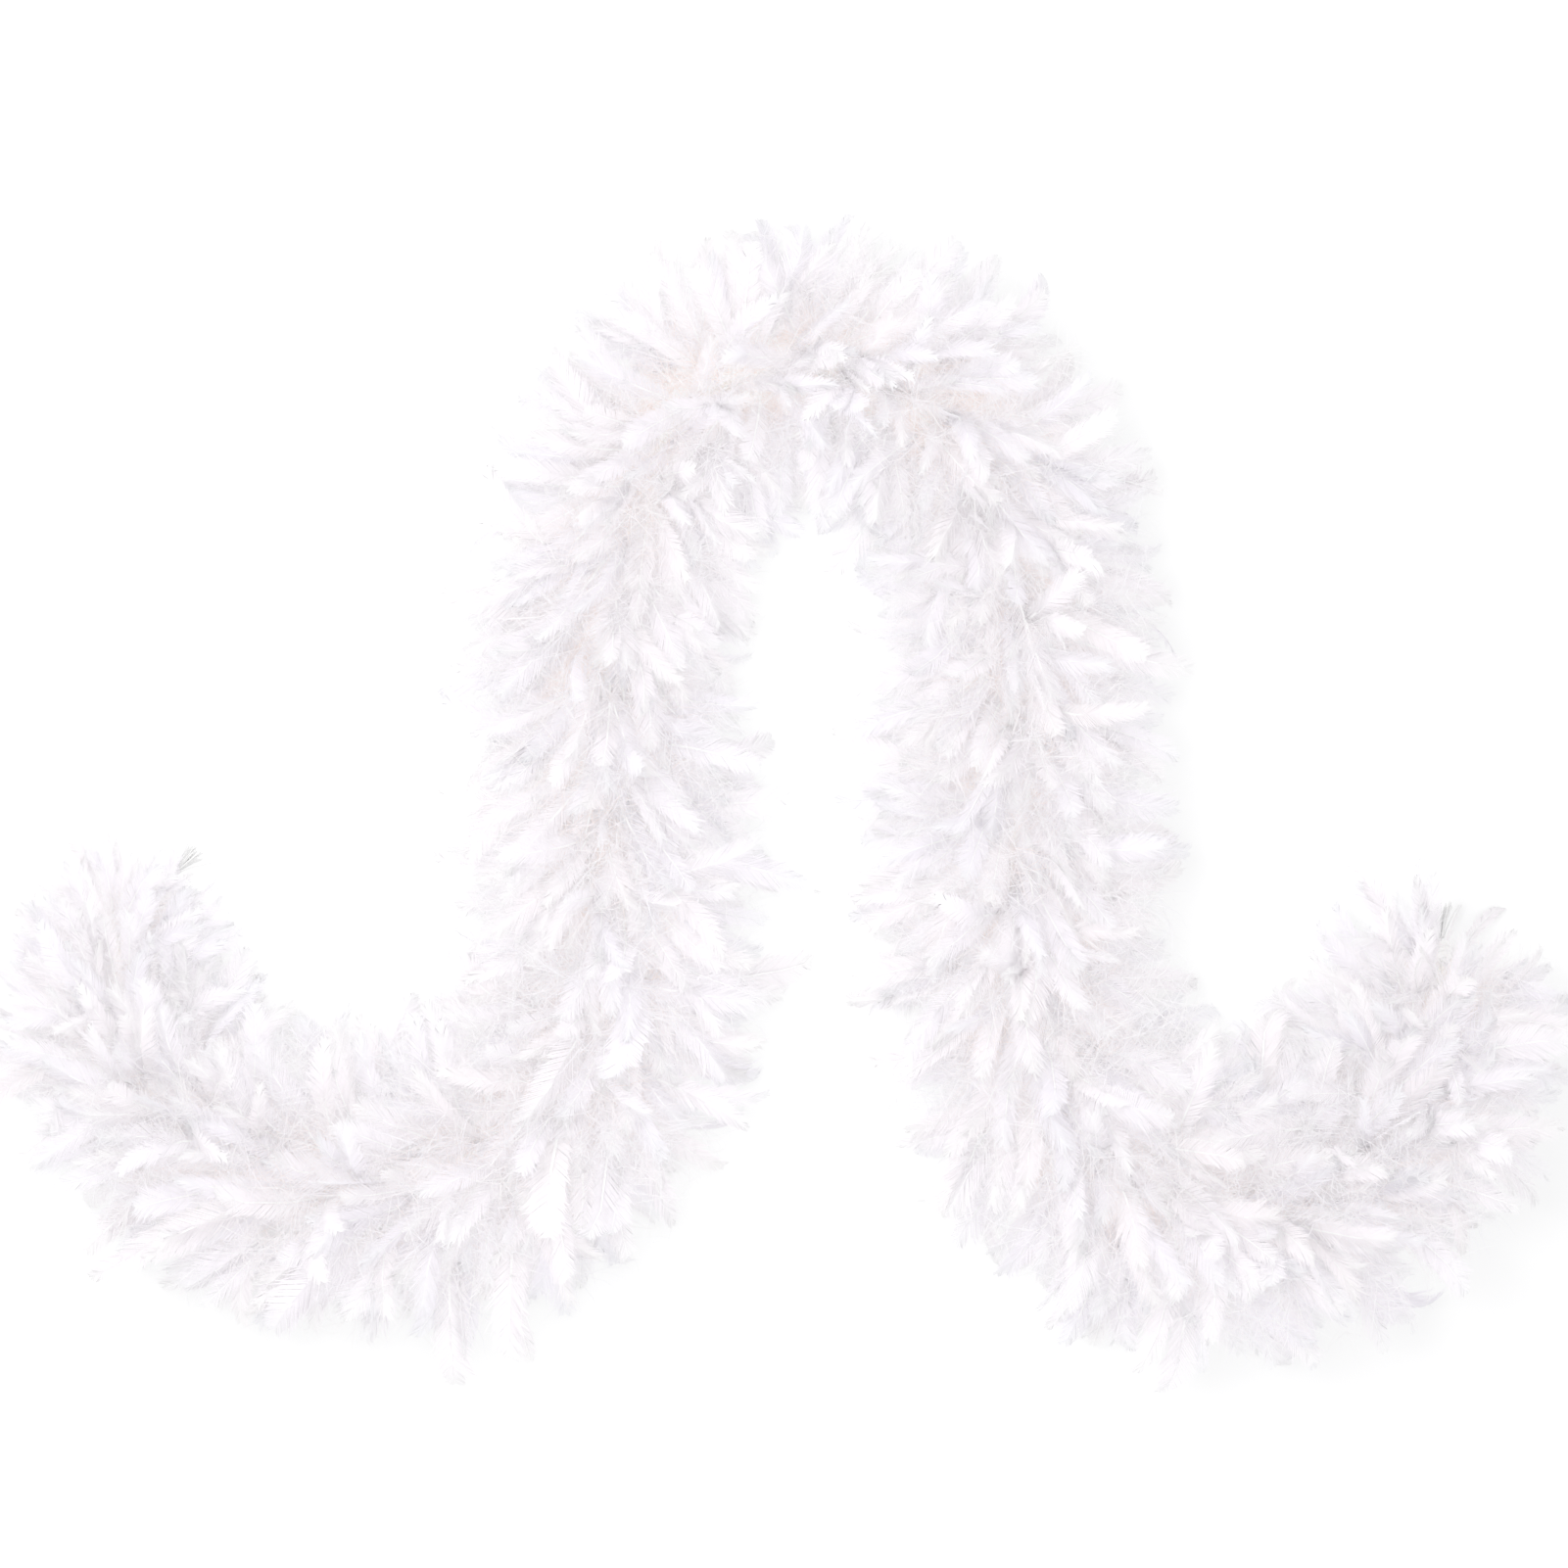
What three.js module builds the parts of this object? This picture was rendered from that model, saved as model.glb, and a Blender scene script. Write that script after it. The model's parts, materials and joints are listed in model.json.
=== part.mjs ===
// A feather boa, two yards long, laid out on a table in the shape of a horseshoe with its tails
// swept outwards. Millimetres, +Z up, the table at z = 0 and the origin under the boa's middle.
//
// A cotton core cord runs from knot to knot and frays out past each knot. The quills of the
// feathers are bound to it in short lengths, and each length carries one section of plumage.
// A section is plain: a hub round the bound quills, with fans of feathers that stand out from it
// to the boa's full thickness and are pressed flat where they meet the table.

import * as THREE from 'three';

// ---- Driving sizes ----

const CORD_RADIUS = 2.5;
const CORD_SIDES = 8;
const CORD_STEPS = 12;             // along each body's length of cord
const HINGE_GAP = 2;               // between two lengths of cord, where the boa bends
const TOUCHING_GAP = 1.2;          // between pieces that meet end to end on the sloping ends

const FRAY_LENGTH = 28;            // loose yarns past each knot
const FRAY_TIP_RADIUS = 7;
const KNOT_LENGTH = 13;
const KNOT_RADIUS = 7;
const KNOT_SIDES = 12;

const BINDING_INNER_RADIUS = 4.2;  // the bound quills, round the cord
const BINDING_OUTER_RADIUS = 6.4;
const BINDING_LENGTH_SHARE = 0.58; // of one plumage section
const BINDING_STEPS = 3;

const PLUMAGE_SECTIONS = 24;
const PLUMAGE_STEPS = 4;
const PLUMAGE_FANS = 8;            // round the cord
const FULL_REACH = 80;             // of a fan as it is first drawn
const PLUMAGE_BORE_RADIUS = 8.5;
const PLUMAGE_HUB_RADIUS = 10.5;
const FAN_ROOT_WIDTH = 2;
const FAN_TIP_WIDTH = 4;
const PLUMAGE_GAP = 3;             // between two sections' ends
const PLUMAGE_END_SHARE = 0.84;    // a section's radius at its ends, as a share of its middle's
const PLUMAGE_FLATTENING = 0.88;   // feathers on top lie lower than those at the sides

// How far the plumage reaches from the cord, against the share of the boa's length.
const PLUMAGE_REACH = [
  [0, 36], [0.02, 48], [0.05, 66], [0.09, 78], [0.14, 84], [0.22, 87], [0.32, 82], [0.42, 77],
  [0.62, 77], [0.7, 80], [0.8, 87], [0.88, 86], [0.94, 80], [0.98, 66], [1, 52],
];

// The cord's route, from the left end's loose yarns to the right end's: [x, y, height].
const FULL_HEIGHT = 45;            // the feathers below hold the cord up
const ROUTE_POINTS = [
  [-354, -23, 10], [-366, -39, 15], [-383, -57, 24], [-396, -84, 38], [-396, -127, FULL_HEIGHT],
  [-370, -170, FULL_HEIGHT], [-329, -203, FULL_HEIGHT], [-274, -223, FULL_HEIGHT],
  [-216, -226, FULL_HEIGHT], [-160, -205, FULL_HEIGHT], [-121, -158, FULL_HEIGHT],
  [-105, -99, FULL_HEIGHT], [-103, -35, FULL_HEIGHT], [-106, 35, FULL_HEIGHT],
  [-105, 105, FULL_HEIGHT], [-91, 178, FULL_HEIGHT], [-60, 230, FULL_HEIGHT],
  [-22, 253, FULL_HEIGHT], [20, 259, FULL_HEIGHT], [63, 250, FULL_HEIGHT],
  [100, 224, FULL_HEIGHT], [126, 179, FULL_HEIGHT], [137, 117, FULL_HEIGHT],
  [138, 47, FULL_HEIGHT], [137, -23, FULL_HEIGHT], [140, -90, FULL_HEIGHT],
  [156, -152, FULL_HEIGHT], [187, -203, FULL_HEIGHT], [234, -234, FULL_HEIGHT],
  [286, -238, FULL_HEIGHT], [335, -216, FULL_HEIGHT], [370, -174, FULL_HEIGHT],
  [389, -125, 38], [397, -75, 24], [400, -55, 18],
];
const ROUTE_SHIFT = new THREE.Vector3(2.307, -6.076, 0);  // brings the boa's middle over the origin

// The bodies that turn on each other, from the left end, and how many sections each carries.
const BODIES = [
  ['left_end', 3], ['left_sweep', 3], ['left_drape', 4], ['arch', 5],
  ['right_drape', 4], ['right_sweep', 3], ['right_end', 2],
];

// ---- Materials ----

const feather = new THREE.MeshStandardMaterial({ color: 0xf3f0f6, roughness: 0.8, metalness: 0 });
const quill = new THREE.MeshStandardMaterial({ color: 0xe9e2d2, roughness: 0.6, metalness: 0 });
const cotton = new THREE.MeshStandardMaterial({ color: 0xf1ebdf, roughness: 0.95, metalness: 0 });

// ---- The route, and shapes that follow it ----

const up = new THREE.Vector3(0, 0, 1);
const route = new THREE.CatmullRomCurve3(
  ROUTE_POINTS.map((point) => new THREE.Vector3(...point).add(ROUTE_SHIFT)), false, 'centripetal');
route.arcLengthDivisions = 4000;
const routeLength = route.getLength();

// The point on the route at a distance along it, and the level direction to its left.
function placeAt(distance) {
  const share = THREE.MathUtils.clamp(distance / routeLength, 0, 1);
  const tangent = route.getTangentAt(share);
  const side = new THREE.Vector3().crossVectors(up, tangent).setZ(0).normalize();
  return { centre: route.getPointAt(share), side };
}

// One stretch of the route, as a curve of its own.
class Stretch extends THREE.Curve {
  constructor(start, end) {
    super();
    this.start = start;
    this.end = end;
  }

  getPoint(share, target = new THREE.Vector3()) {
    const distance = THREE.MathUtils.lerp(this.start, this.end, share);
    return target.copy(placeAt(distance).centre);
  }
}

// Lays a shape that stands on the Z axis from 0 up along the route from start. What would reach
// below the table is pressed up to it.
function layAlongRoute(geometry, start) {
  const position = geometry.getAttribute('position');
  for (let i = 0; i < position.count; i += 1) {
    const { centre, side } = placeAt(start + position.getZ(i));
    const point = centre.addScaledVector(side, position.getX(i));
    point.z = Math.max(0, point.z + position.getY(i));
    position.setXYZ(i, point.x, point.y, point.z);
  }
  return geometry;
}

// Turns an outline of [radius, distance] points round the Z axis. The outline runs with the solid
// on its left.
function turned(outline, sides) {
  const points = outline.map(([radius, distance]) => new THREE.Vector2(radius, distance));
  return new THREE.LatheGeometry(points, sides).rotateX(Math.PI / 2);
}

// Draws a closed line through [radius, angle] corners.
function closedThrough(points, shape) {
  points.forEach(([radius, angle], i) => {
    const [x, y] = [radius * Math.cos(angle), radius * Math.sin(angle)];
    if (i === 0) shape.moveTo(x, y);
    else shape.lineTo(x, y);
  });
  shape.closePath();
  return shape;
}

// A regular outline with a corner at each step round the circle.
function polygon(radius, sides, shape) {
  const corners = Array.from({ length: sides }, (_, i) => [radius, (i / sides) * Math.PI * 2]);
  return closedThrough(corners, shape);
}

function named(name, geometry, material) {
  const mesh = new THREE.Mesh(geometry, material);
  mesh.name = name;
  return mesh;
}

// ---- The pieces ----

function plumageReach(distance) {
  const share = distance / routeLength;
  const next = PLUMAGE_REACH.findIndex(([at]) => at >= share);
  if (next <= 0) return PLUMAGE_REACH[0][1];
  const [[shareBefore, before], [shareAfter, after]] = PLUMAGE_REACH.slice(next - 1, next + 1);
  return THREE.MathUtils.mapLinear(share, shareBefore, shareAfter, before, after);
}

// The outline of a section: fans that stand out from a hub, and the bore for the bound quills.
function fanOutline() {
  const halfRoot = FAN_ROOT_WIDTH / 2 / PLUMAGE_HUB_RADIUS;
  const halfTip = FAN_TIP_WIDTH / 2 / FULL_REACH;
  const corners = [];
  for (let fan = 0; fan < PLUMAGE_FANS; fan += 1) {
    const middle = (fan / PLUMAGE_FANS) * Math.PI * 2;
    corners.push(
      [PLUMAGE_HUB_RADIUS, middle - halfRoot],
      [FULL_REACH, middle - halfTip],
      [FULL_REACH, middle + halfTip],
      [PLUMAGE_HUB_RADIUS, middle + halfRoot],
    );
  }
  const outline = closedThrough(corners, new THREE.Shape());
  outline.holes.push(polygon(PLUMAGE_BORE_RADIUS, PLUMAGE_FANS, new THREE.Path()));
  return outline;
}

// A section of plumage. Its fans reach as far as the plumage does there, less at its two ends.
function plumageSection(name, start, end) {
  const length = end - start;
  const fans = new THREE.ExtrudeGeometry(fanOutline(), {
    depth: length,
    steps: PLUMAGE_STEPS,
    bevelEnabled: false,
  });
  const position = fans.getAttribute('position');
  for (let i = 0; i < position.count; i += 1) {
    const [x, y, along] = [position.getX(i), position.getY(i), position.getZ(i)];
    const isTip = Math.hypot(x, y) > FULL_REACH / 2;
    if (isTip) {
      const atEnd = Math.min(along, length - along) < length / PLUMAGE_STEPS / 2;
      const reach = plumageReach(start + along) * (atEnd ? PLUMAGE_END_SHARE : 1);
      const grow = reach / FULL_REACH;
      position.setXY(i, x * grow, y * grow * (y > 0 ? PLUMAGE_FLATTENING : 1));
    }
  }
  return named(name, layAlongRoute(fans, start), feather);
}

// The bound quills of one section: a thin sleeve that the cord runs through.
function quillBinding(name, start, end) {
  const length = end - start;
  const shares = Array.from({ length: BINDING_STEPS + 1 }, (_, i) => i / BINDING_STEPS);
  const outside = shares.map((share) => [BINDING_OUTER_RADIUS, share * length]);
  const bore = shares.map((share) => [BINDING_INNER_RADIUS, (1 - share) * length]);
  const sleeve = turned([...outside, ...bore, outside[0]], CORD_SIDES);
  return named(name, layAlongRoute(sleeve, start), quill);
}

// One body's length of the core cord.
function coreCord(name, start, end) {
  const tube = new THREE.ExtrudeGeometry(polygon(CORD_RADIUS, CORD_SIDES, new THREE.Shape()), {
    steps: CORD_STEPS,
    extrudePath: new Stretch(start, end),
  });
  return named(name, tube, cotton);
}

// The overhand knot that stops the feathers at an end: a barrel with rounded shoulders.
function endKnot(name, start) {
  const shoulder = KNOT_LENGTH * 0.22;
  const barrel = turned([
    [0, 0],
    [KNOT_RADIUS * 0.6, 0],
    [KNOT_RADIUS, shoulder],
    [KNOT_RADIUS, KNOT_LENGTH - shoulder],
    [KNOT_RADIUS * 0.6, KNOT_LENGTH],
    [0, KNOT_LENGTH],
  ], KNOT_SIDES);
  return named(name, layAlongRoute(barrel, start), cotton);
}

// The loose yarns past a knot, from the route's distance at the tip to that at the knot.
function yarnFray(name, tip, knot) {
  const low = Math.min(tip, knot);
  const radius = (distance) => (distance === tip ? FRAY_TIP_RADIUS : CORD_RADIUS);
  const length = Math.abs(knot - tip);
  const brush = turned([
    [0, 0],
    [radius(low), 0],
    [(FRAY_TIP_RADIUS + CORD_RADIUS) / 2, length / 2],
    [radius(low === tip ? knot : tip), length],
    [0, length],
  ], CORD_SIDES);
  return named(name, layAlongRoute(brush, low), cotton);
}

// ---- The whole boa ----

const knotStart = FRAY_LENGTH + TOUCHING_GAP;
const cordStart = knotStart + KNOT_LENGTH + TOUCHING_GAP;
const cordEnd = routeLength - cordStart;
const plumageStart = FRAY_LENGTH;
const sectionLength = (routeLength - 2 * plumageStart) / PLUMAGE_SECTIONS;

const boa = new THREE.Group();
let section = 0;
for (const [body, count] of BODIES) {
  const group = new THREE.Group();
  const isFirst = section === 0;
  const isLast = section + count === PLUMAGE_SECTIONS;
  const bodyStart = plumageStart + section * sectionLength;
  const bodyEnd = bodyStart + count * sectionLength;
  group.add(coreCord(
    `core_cord_${body}`,
    isFirst ? cordStart : bodyStart + HINGE_GAP / 2,
    isLast ? cordEnd : bodyEnd - HINGE_GAP / 2,
  ));
  for (let i = 0; i < count; i += 1) {
    const number = String(section + i + 1).padStart(2, '0');
    const start = bodyStart + i * sectionLength;
    const middle = start + sectionLength / 2;
    const halfBinding = (sectionLength * BINDING_LENGTH_SHARE) / 2;
    const end = start + sectionLength;
    group.add(
      plumageSection(`plumage_${number}`, start + PLUMAGE_GAP / 2, end - PLUMAGE_GAP / 2),
      quillBinding(`quill_binding_${number}`, middle - halfBinding, middle + halfBinding),
    );
  }
  if (isFirst) {
    group.add(endKnot('end_knot_left', knotStart), yarnFray('yarn_fray_left', 0, FRAY_LENGTH));
  }
  if (isLast) {
    group.add(
      endKnot('end_knot_right', cordEnd + TOUCHING_GAP),
      yarnFray('yarn_fray_right', routeLength, routeLength - FRAY_LENGTH),
    );
  }
  boa.add(group);
  section += count;
}

export default boa;
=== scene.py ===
"""A white feather boa that lies on a pale floor in an open loop, with its two ends turned out.

The cord runs through the middle of everything. Feathers are tied round it by their quills,
lean away from the top of the loop, and stop short of a knot and a frayed tuft at each end.
"""

import json
import math
import random
from bisect import bisect_right

import bpy
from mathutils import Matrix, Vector

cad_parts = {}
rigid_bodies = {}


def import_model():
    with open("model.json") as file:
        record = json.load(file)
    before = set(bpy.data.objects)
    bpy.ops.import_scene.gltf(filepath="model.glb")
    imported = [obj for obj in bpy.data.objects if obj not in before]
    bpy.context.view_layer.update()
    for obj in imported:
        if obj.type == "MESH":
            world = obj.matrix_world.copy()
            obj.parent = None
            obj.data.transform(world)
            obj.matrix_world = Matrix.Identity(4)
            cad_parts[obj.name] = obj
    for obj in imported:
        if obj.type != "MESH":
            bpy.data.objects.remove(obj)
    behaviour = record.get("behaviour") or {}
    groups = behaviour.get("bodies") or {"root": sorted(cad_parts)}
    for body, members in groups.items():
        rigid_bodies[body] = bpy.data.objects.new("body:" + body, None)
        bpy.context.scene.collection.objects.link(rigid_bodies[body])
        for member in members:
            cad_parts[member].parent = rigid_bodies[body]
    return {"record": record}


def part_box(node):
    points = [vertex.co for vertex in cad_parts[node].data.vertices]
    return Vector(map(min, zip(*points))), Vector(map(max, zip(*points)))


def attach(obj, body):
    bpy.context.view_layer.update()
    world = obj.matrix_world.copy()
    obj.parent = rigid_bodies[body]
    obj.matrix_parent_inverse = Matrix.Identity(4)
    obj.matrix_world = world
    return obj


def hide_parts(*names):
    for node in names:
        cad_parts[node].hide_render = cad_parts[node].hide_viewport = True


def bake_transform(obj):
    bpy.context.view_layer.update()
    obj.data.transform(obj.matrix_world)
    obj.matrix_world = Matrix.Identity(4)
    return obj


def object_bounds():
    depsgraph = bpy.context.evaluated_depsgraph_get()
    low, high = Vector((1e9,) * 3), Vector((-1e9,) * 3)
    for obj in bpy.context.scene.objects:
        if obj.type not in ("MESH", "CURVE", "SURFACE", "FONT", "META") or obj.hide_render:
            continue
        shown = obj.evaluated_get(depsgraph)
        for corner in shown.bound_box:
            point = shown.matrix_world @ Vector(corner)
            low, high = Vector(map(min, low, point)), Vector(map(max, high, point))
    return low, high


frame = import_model()
CAD_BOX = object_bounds()

bl_info = {
    "name": "Feather Boa",
    "version": (1, 0, 0),
    "blender": (4, 5, 0),
    "location": "3D View > Sidebar > Boa",
    "description": "Builds a white feather boa that lies in an open loop",
    "category": "Object",
}

# ---------------------------------------------------------------- the cord's route, in metres

ROUTE_POINTS = [
    (-0.354, -0.023, 0.010), (-0.366, -0.039, 0.015), (-0.383, -0.057, 0.024),
    (-0.396, -0.084, 0.038), (-0.396, -0.127, 0.045), (-0.370, -0.170, 0.045),
    (-0.329, -0.203, 0.045), (-0.274, -0.223, 0.045), (-0.216, -0.226, 0.045),
    (-0.160, -0.205, 0.045), (-0.121, -0.158, 0.045), (-0.105, -0.099, 0.045),
    (-0.103, -0.035, 0.045), (-0.106, 0.035, 0.045), (-0.105, 0.105, 0.045),
    (-0.091, 0.178, 0.045), (-0.060, 0.230, 0.045), (-0.022, 0.253, 0.045),
    (0.020, 0.259, 0.045), (0.063, 0.250, 0.045), (0.100, 0.224, 0.045),
    (0.126, 0.179, 0.045), (0.137, 0.117, 0.045), (0.138, 0.047, 0.045),
    (0.137, -0.023, 0.045), (0.140, -0.090, 0.045), (0.156, -0.152, 0.045),
    (0.187, -0.203, 0.045), (0.234, -0.234, 0.045), (0.286, -0.238, 0.045),
    (0.335, -0.216, 0.045), (0.370, -0.174, 0.045), (0.389, -0.125, 0.038),
    (0.397, -0.075, 0.024), (0.400, -0.055, 0.018),
]  # fmt: skip
ROUTE_SHIFT = Vector((0.002307, -0.006076, 0.0))

BODY_ORDER = (
    "left_end", "left_sweep", "left_drape", "arch", "right_drape", "right_sweep", "right_end",
)  # fmt: skip
FRAY_LENGTH = 0.028
KNOT_LENGTH = 0.013
# The length beside each knot where no feather is tied to the cord.
BARE_CORD = 0.010
# The gap between a fray and its knot, and between the knot and the cord.
TOUCHING_GAP = 0.0012

# How far the feathers stand out from the cord, against the share of the boa's length.
PLUMAGE_REACH = (
    (0.0, 0.030), (0.02, 0.046), (0.05, 0.066), (0.09, 0.078), (0.14, 0.084), (0.22, 0.087),
    (0.32, 0.082), (0.42, 0.077), (0.62, 0.077), (0.7, 0.080), (0.8, 0.087), (0.88, 0.086),
    (0.94, 0.080), (0.98, 0.066), (1.0, 0.052),
)  # fmt: skip
FULL_REACH = 0.080
# The share of the reach beyond which a feather's tip is drawn in.
DRAWN_IN_FROM = 1.08
# The space that the boa may fill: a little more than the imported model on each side.
ALLOWED_SIDE = Vector([1.06 * side + 0.008 for side in CAD_BOX[1]])
# The heights in which feathers ease out against the floor, and against the top of the boa.
FLOOR_EASE = 0.016
TOP_EASE = 0.022
# The lengths in which the feathers' lean builds up from the top of the loop, and from each knot.
LEAN_BUILDS_UP_OVER = 0.15
LEAN_EASES_OFF_OVER = 0.13
GOLDEN_ANGLE = math.pi * (3 - math.sqrt(5))


def clamp(value, low, high):
    return min(max(value, low), high)


def spaced(start, end, step):
    """Evenly spaced numbers from start to end, about a step apart."""
    count = max(2, round((end - start) / step))
    return [start + (end - start) * i / count for i in range(count + 1)]


def smooth_line(points, steps_between=60):
    """Points close together on the centripetal curve that passes through the given ones."""
    padded = [2 * points[0] - points[1], *points, 2 * points[-1] - points[-2]]
    line = []
    for four in zip(padded, padded[1:], padded[2:], padded[3:]):
        times = [0.0]
        for near, far in zip(four, four[1:]):
            times.append(times[-1] + math.sqrt((far - near).length))
        for step in range(steps_between):
            time = times[1] + (times[2] - times[1]) * step / steps_between
            line.append(point_on_curve(four, times, time))
    return [*line, points[-1]]


def point_on_curve(points, times, time):
    """The curve's point at a time, by mixing neighbours until one point is left."""
    for spans in (((0, 1), (1, 2), (2, 3)), ((0, 2), (1, 3)), ((1, 2),)):
        mixed = []
        for near, far, (low, high) in zip(points, points[1:], spans):
            mixed.append(near.lerp(far, (time - times[low]) / (times[high] - times[low])))
        points = mixed
    return points[0]


class Route:
    """The cord's middle line, read by its distance in metres from the left end."""

    def __init__(self, points):
        self.points = smooth_line(points)
        self.distances = [0.0]
        for near, far in zip(self.points, self.points[1:]):
            self.distances.append(self.distances[-1] + (far - near).length)
        self.length = self.distances[-1]

    def at(self, distance):
        i = clamp(bisect_right(self.distances, distance) - 1, 0, len(self.points) - 2)
        share = (distance - self.distances[i]) / (self.distances[i + 1] - self.distances[i])
        return self.points[i].lerp(self.points[i + 1], share)

    def direction(self, distance):
        return (self.at(distance + 0.001) - self.at(distance - 0.001)).normalized()

    def line(self, start, end, step):
        return [self.at(distance) for distance in spaced(start, end, step)]


ROUTE = Route([Vector(point) + ROUTE_SHIFT for point in ROUTE_POINTS])
BODY_NODES = frame["record"]["behaviour"]["bodies"]
SECTION_COUNTS = [
    sum(node.startswith("plumage_") for node in BODY_NODES[body]) for body in BODY_ORDER
]
PLUMAGE_START = FRAY_LENGTH
PLUMAGE_END = ROUTE.length - FRAY_LENGTH
SECTION_LENGTH = (PLUMAGE_END - PLUMAGE_START) / sum(SECTION_COUNTS)
CORD_START = FRAY_LENGTH + KNOT_LENGTH + 2 * TOUCHING_GAP
CORD_END = ROUTE.length - CORD_START


def body_middle(index):
    """The distance along the route of a body's middle."""
    sections_before = sum(SECTION_COUNTS[:index]) + SECTION_COUNTS[index] / 2
    return PLUMAGE_START + sections_before * SECTION_LENGTH


class Stretch:
    """The part of the boa between the middles of two bodies, where their joint lies."""

    def __init__(self, index):
        self.name = f"{BODY_ORDER[index]}_to_{BODY_ORDER[index + 1]}"
        self.bodies = (BODY_ORDER[index], BODY_ORDER[index + 1])
        self.middles = (body_middle(index), body_middle(index + 1))
        self.first = index == 0
        self.last = index == len(BODY_ORDER) - 2

    def span(self, low, high):
        """Where this stretch starts and ends, out to low and high at the boa's own ends."""
        start = low if self.first else self.middles[0]
        end = high if self.last else self.middles[1]
        return start, end

    def holds(self, distance):
        start, end = self.span(0.0, ROUTE.length)
        return start <= distance < end

    def bend(self, piece):
        """Bakes a piece's placement into its mesh; the piece is not bent to follow the two bodies."""
        ROUTE.at(self.middles[0])
        ROUTE.at(self.middles[1])
        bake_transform(piece)

    def nodes(self, prefix):
        """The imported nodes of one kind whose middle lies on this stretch."""
        found = []
        for body in self.bodies:
            for node in BODY_NODES[body]:
                if node.startswith(prefix) and self.holds(nearest_distance(node)):
                    found.append(node)
        return found


def nearest_distance(node):
    """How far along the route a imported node's middle lies."""
    low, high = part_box(node)
    middle = (Vector(low) + Vector(high)) / 2
    nearest = min(range(0, len(ROUTE.points), 4), key=lambda i: (ROUTE.points[i] - middle).length)
    return ROUTE.distances[nearest]


STRETCHES = [Stretch(index) for index in range(len(BODY_ORDER) - 1)]


def reach_at(distance):
    """How far the feathers stand out from the cord at a distance along it."""
    share = clamp((distance - PLUMAGE_START) / (PLUMAGE_END - PLUMAGE_START), 0.0, 1.0)
    for (low, low_reach), (high, high_reach) in zip(PLUMAGE_REACH, PLUMAGE_REACH[1:]):
        if share <= high:
            return low_reach + (high_reach - low_reach) * (share - low) / (high - low)
    return PLUMAGE_REACH[-1][1]


def room_at(distance):
    """How far a feather may stand out from the cord before it leaves the space allowed."""
    place = ROUTE.at(distance)
    return min(ALLOWED_SIDE.x - abs(place.x), ALLOWED_SIDE.y - abs(place.y))


def lean_at(distance):
    """Which way the feathers lean along the cord: -1 to the left end, 1 to the right end."""
    from_middle = (distance - ROUTE.length / 2) / LEAN_BUILDS_UP_OVER
    from_knot = min(distance, ROUTE.length - distance) - CORD_START
    return clamp(from_middle, -1.0, 1.0) * clamp(from_knot / LEAN_EASES_OFF_OVER, 0.0, 1.0)


# ---------------------------------------------------------------- sizes and colours


def metres(name, description, default, low, high):
    """A length, for a property group."""
    return bpy.props.FloatProperty(
        name=name, description=description, default=default, min=low, max=high,
        subtype="DISTANCE", unit="LENGTH",
    )  # fmt: skip


def number_of(name, description, default, low, high):
    """A whole number, for a property group."""
    return bpy.props.IntProperty(
        name=name, description=description, default=default, min=low, max=high
    )


def tint(name, description, default):
    """A colour, for a property group."""
    return bpy.props.FloatVectorProperty(
        name=name, description=description, default=default, size=3, min=0.0, max=1.0,
        subtype="COLOR",
    )  # fmt: skip


class BoaSizes(bpy.types.PropertyGroup):
    """Sizes and counts of the boa's pieces."""

    cord_diameter: metres(
        "Cord diameter", "Across the three twisted strands of the cord", 0.005, 0.002, 0.01
    )
    cord_pitch: metres(
        "Cord pitch", "Length in which a strand goes once round the cord", 0.016, 0.005, 0.05
    )
    thread_diameter: metres(
        "Thread diameter", "Thickness of the thread that ties the quills on", 0.0008, 0.0003, 0.002
    )
    feather_length: metres(
        "Feather length", "Length of a full feather from quill to tip", 0.122, 0.05, 0.15
    )
    feather_width: metres(
        "Feather width", "Width of a full feather at its widest", 0.027, 0.01, 0.04
    )
    plumes_per_metre: number_of(
        "Plumes per metre", "Vaned feathers on each metre of the boa", 1550, 100, 3000
    )
    down_per_metre: number_of(
        "Down per metre", "Tufts of down on each metre of the boa", 1900, 100, 3000
    )
    strays_per_metre: number_of(
        "Strays per metre", "Long feathers that stand out on each metre of the boa", 70, 1, 500
    )
    lean: bpy.props.FloatProperty(
        name="Lean", description="How far a feather leans along the cord for each part outwards",
        default=0.58, min=0.0, max=2.0,
    )  # fmt: skip


class BoaColours(bpy.types.PropertyGroup):
    """Colours of the boa's finishes."""

    plume: tint("Plume", "Vanes of the feathers", (0.930, 0.873, 0.930))
    # Tip is painted shade: the grey at the feather tips stands in for the grey shade along the boa's
    # edges.
    tip: tint("Tip", "Feather tips, greyer than the vane", (0.864, 0.863, 0.868))
    down: tint("Down", "Down, and the fluffy roots of the feathers", (0.915, 0.864, 0.902))
    # Core is painted shade: a warm, darker colour at the roots of the down that stands in for the warm
    # shade deep in the plumage round the cord.
    core: tint("Core", "Warm tint of the down deep inside, round the cord", (0.95, 0.77, 0.70))
    quill: tint("Quill", "Bare quill ends that are tied to the cord", (0.86, 0.80, 0.70))
    cotton: tint("Cotton", "Cord, thread and knots", (0.86, 0.85, 0.83))
    # Yarn is painted shadow: its grey stands in for the shadows between the frayed strands.
    yarn: tint("Yarn", "Frayed ends, greyer than the cord inside", (0.76, 0.755, 0.75))


# ---------------------------------------------------------------- building node trees


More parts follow.
